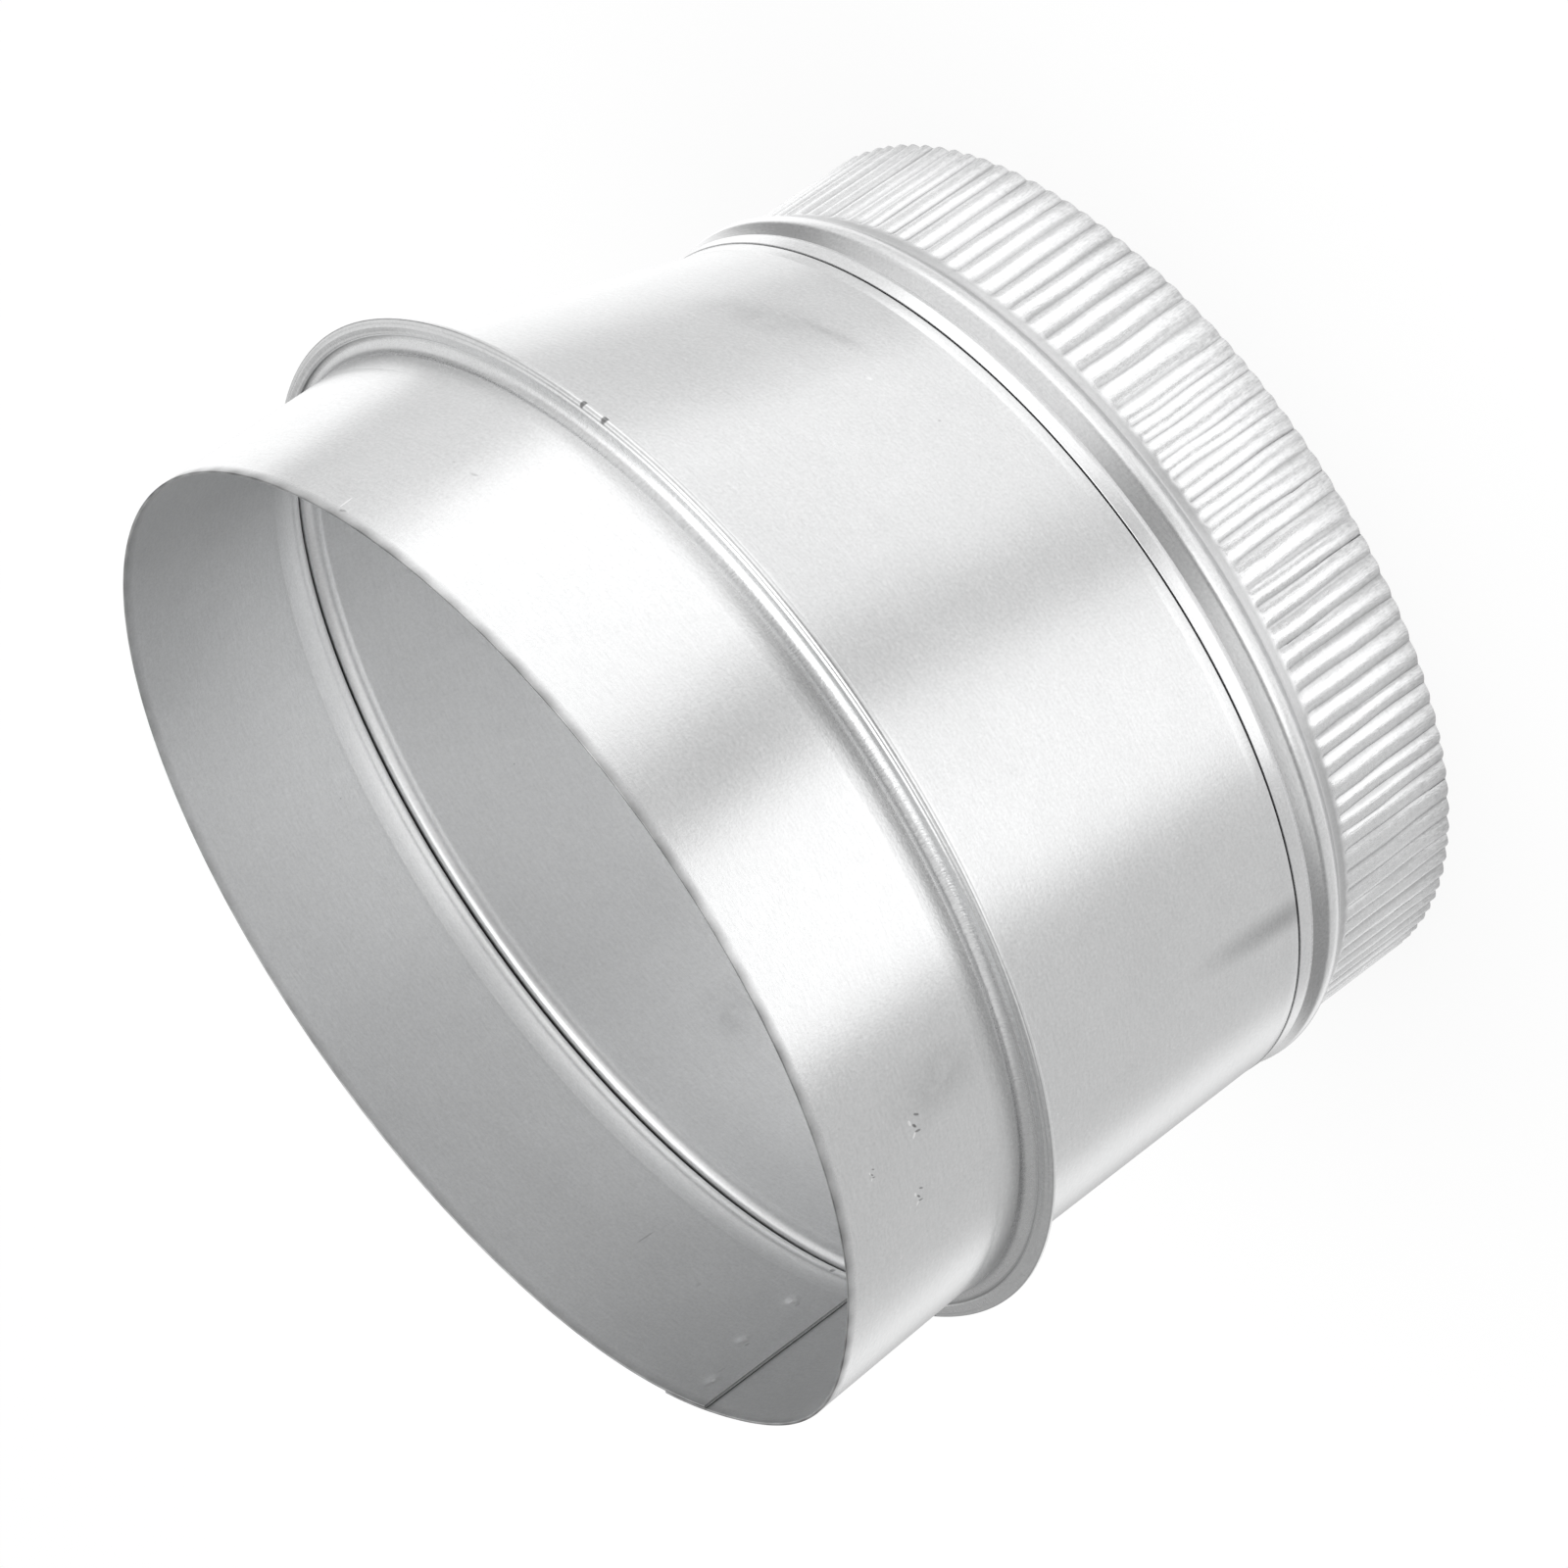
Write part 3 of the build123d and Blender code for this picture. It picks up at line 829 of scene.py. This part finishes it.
# The same studio by height, as sines of the elevations where a layer begins and is
# full, and its brightness: the white floor below, the tall softboxes, whose contrast is
# less below, a dark strip under the horizon and grey upper walls
FLOOR = (-0.95, -0.72, 1.0)
EVEN_LEVEL = 0.73
LESS_CONTRAST = (-0.66, -0.44, 0.5)
STRIP = (-0.34, -0.19, 0.28)
STRIP_BOX = (334, 40, 20, 0.55)
UPPER = (-0.02, 0.10, 0.38)
UPPER_BOXES = ((325, 33, 10, 0.45), (222, 34, 12, 0.42))

# Upper wall towards +Y, from one azimuth and brightness to another, and how far
# towards +Y a direction points where that wall begins and is full
BACK_WALL = (78, 88, 0.8, 0.40)
BACK_WALL_ENDS = (0.0, 0.3)

# Softbox overhead: its axis, the cosines to it where it begins and is full, brightness
OVERHEAD_AXIS = (0.408, -0.109, 0.906)
OVERHEAD = (0.865, 0.925, 1.2)


def layer(tree, lower, upper, share):
    """Blend from one brightness to another by a share of 0 to 1."""
    kept = add_math(tree, "MULTIPLY", lower, add_math(tree, "SUBTRACT", 1.0, share))
    return add_math(tree, "ADD", kept, add_math(tree, "MULTIPLY", upper, share))


def studio_world():
    """White to the camera and for diffuse light, a plain studio in the metal's reflections."""
    world = bpy.data.worlds.new("studio")
    bpy.context.scene.world = world
    world.use_nodes = True
    tree = world.node_tree
    background = tree.nodes["Background"]
    direction = tree.nodes.new("ShaderNodeTexCoord").outputs["Generated"]
    split = tree.nodes.new("ShaderNodeSeparateXYZ")
    tree.links.new(direction, split.inputs[0])
    azimuth = add_math(tree, "DEGREES", add_math(tree, "ARCTAN2", split.outputs[1], split.outputs[0]))
    rise = split.outputs[2]
    boxes = total(tree, *[softbox(tree, azimuth, *box) for box in SOFTBOXES])
    walls = add_math(tree, "ADD", boxes, STUDIO_LEVEL)
    contrast = map_range(tree, rise, *LESS_CONTRAST, 1.0)
    walls = add_math(tree, "MULTIPLY", add_math(tree, "SUBTRACT", walls, EVEN_LEVEL), contrast)
    walls = add_math(tree, "ADD", walls, EVEN_LEVEL)
    walls = layer(tree, walls, FLOOR[2], map_range(tree, rise, FLOOR[0], FLOOR[1], 1.0, 0.0))
    strip = add_math(tree, "ADD", softbox(tree, azimuth, *STRIP_BOX), STRIP[2])
    walls = layer(tree, walls, strip, map_range(tree, rise, STRIP[0], STRIP[1], 0.0, 1.0))
    behind = map_range(tree, split.outputs[1], *BACK_WALL_ENDS, 0.0, 1.0)
    upper = total(tree, UPPER[2], *[softbox(tree, azimuth, *box) for box in UPPER_BOXES])
    upper = layer(tree, upper, map_range(tree, azimuth, *BACK_WALL), behind)
    towards = tree.nodes.new("ShaderNodeVectorMath")
    towards.operation = "DOT_PRODUCT"
    tree.links.new(direction, towards.inputs[0])
    towards.inputs[1].default_value = OVERHEAD_AXIS
    above = map_range(tree, towards.outputs["Value"], OVERHEAD[0], OVERHEAD[1], 0.0, 1.0)
    upper = layer(tree, upper, OVERHEAD[2], above)
    level = layer(tree, walls, upper, map_range(tree, rise, UPPER[0], UPPER[1], 0.0, 1.0))
    path = tree.nodes.new("ShaderNodeLightPath")
    in_metal = path.outputs["Is Glossy Ray"]
    plain = add_math(tree, "SUBTRACT", 1.0, in_metal)
    strength = add_math(tree, "ADD", add_math(tree, "MULTIPLY", in_metal, level), plain)
    background.inputs["Color"].default_value = (1, 1, 1, 1)
    tree.links.new(strength, background.inputs["Strength"])


FLOOR_RADIUS = 9.0
FLOOR_WHITE = (0.93, 0.93, 0.93, 1)
FLOOR_GLOW = 0.85


def pale_floor():
    """Round white floor that keeps a faint soft shadow of the object."""
    bpy.ops.mesh.primitive_circle_add(
        vertices=96, radius=FLOOR_RADIUS, fill_type="NGON", location=(0, 0, 0)
    )
    floor = bpy.context.object
    floor.name = "studio_floor"
    material = bpy.data.materials.new("floor_white")
    material.use_nodes = True
    tree = material.node_tree
    shader = tree.nodes["Principled BSDF"]
    shader.inputs["Base Color"].default_value = FLOOR_WHITE
    shader.inputs["Roughness"].default_value = 0.9
    shader.inputs["Specular IOR Level"].default_value = 0.0
    glow = tree.nodes.new("ShaderNodeEmission")
    glow.inputs["Color"].default_value = (1, 1, 1, 1)
    path = tree.nodes.new("ShaderNodeLightPath")
    seen = path.outputs["Is Camera Ray"]
    for ray in ("Is Glossy Ray", "Is Transmission Ray"):
        seen = add_math(tree, "MAXIMUM", seen, path.outputs[ray])
    blend = tree.nodes.new("ShaderNodeMixShader")
    tree.links.new(add_math(tree, "MULTIPLY", seen, FLOOR_GLOW), blend.inputs[0])
    tree.links.new(shader.outputs[0], blend.inputs[1])
    tree.links.new(glow.outputs[0], blend.inputs[2])
    tree.links.new(blend.outputs[0], tree.nodes["Material Output"].inputs["Surface"])
    floor.data.materials.append(material)
    floor.visible_glossy = False


def area_light(name, place, target, size, power):
    """Soft square lamp aimed at a point, in metres and watts."""
    lamp = bpy.data.lights.new(name, "AREA")
    lamp.shape = "SQUARE"
    lamp.size = size
    lamp.energy = power
    holder = bpy.data.objects.new(name, lamp)
    holder.location = place
    holder.rotation_euler = (Vector(target) - Vector(place)).to_track_quat("-Z", "Y").to_euler()
    bpy.context.scene.collection.objects.link(holder)


# Camera fitted to the photograph
CAMERA_PLACE = (0.04882, -1.15287, 0.58142)
CAMERA_RIGHT = (-0.5621, -0.35244, -0.74822)
CAMERA_UP = (0.82587, -0.19038, -0.53075)
CAMERA_LENS = 157.876
CAMERA_SENSOR = 36.0


def add_camera():
    """Camera at the photograph's angle, rolled as the photographer saw the part."""
    right = Vector(CAMERA_RIGHT).normalized()
    up = Vector(CAMERA_UP)
    up = (up - right * up.dot(right)).normalized()
    back = right.cross(up)
    data = bpy.data.cameras.new("camera")
    data.lens = CAMERA_LENS
    data.sensor_width = CAMERA_SENSOR
    data.clip_start = 0.01
    camera = bpy.data.objects.new("camera", data)
    matrix = Matrix((right, up, back)).transposed().to_4x4()
    matrix.translation = CAMERA_PLACE
    camera.matrix_world = matrix
    bpy.context.scene.collection.objects.link(camera)
    bpy.context.scene.camera = camera


bpy.context.scene.view_settings.view_transform = "Standard"
add_camera()
studio_world()
pale_floor()
area_light("overhead", place=(0.2, -0.3, 1.6), target=(0, 0, 0.05), size=1.4, power=6.0)

# Finish of each sheet: colour, roughness, grain in mm, and how much painted light brightens it inside
COLLAR_ZINC = ((0.80, 0.804, 0.807), 0.25, 0.016, 0.0)
BODY_ZINC = ((0.80, 0.804, 0.807), 0.25, 0.016, 0.13)
SMALL_ZINC = ((0.865, 0.868, 0.872), 0.24, 0.012, 0.0)
collar_zinc = galvanised("collar_zinc", *COLLAR_ZINC, COLLAR_MARKS)
body_zinc = galvanised("body_zinc", *BODY_ZINC, BODY_MARKS)
small_zinc = galvanised("small_zinc", *SMALL_ZINC, ())

for make, node, material, slot in (
    (large_collar, "large_collar", collar_zinc, "galvanised_sheet"),
    (tapered_body, "tapered_body", body_zinc, "galvanised_sheet"),
    (crimped_collar, "crimped_collar", small_zinc, "bright_galvanised_sheet"),
):
    piece = make()
    piece.data.materials.append(material)
    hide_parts(node)
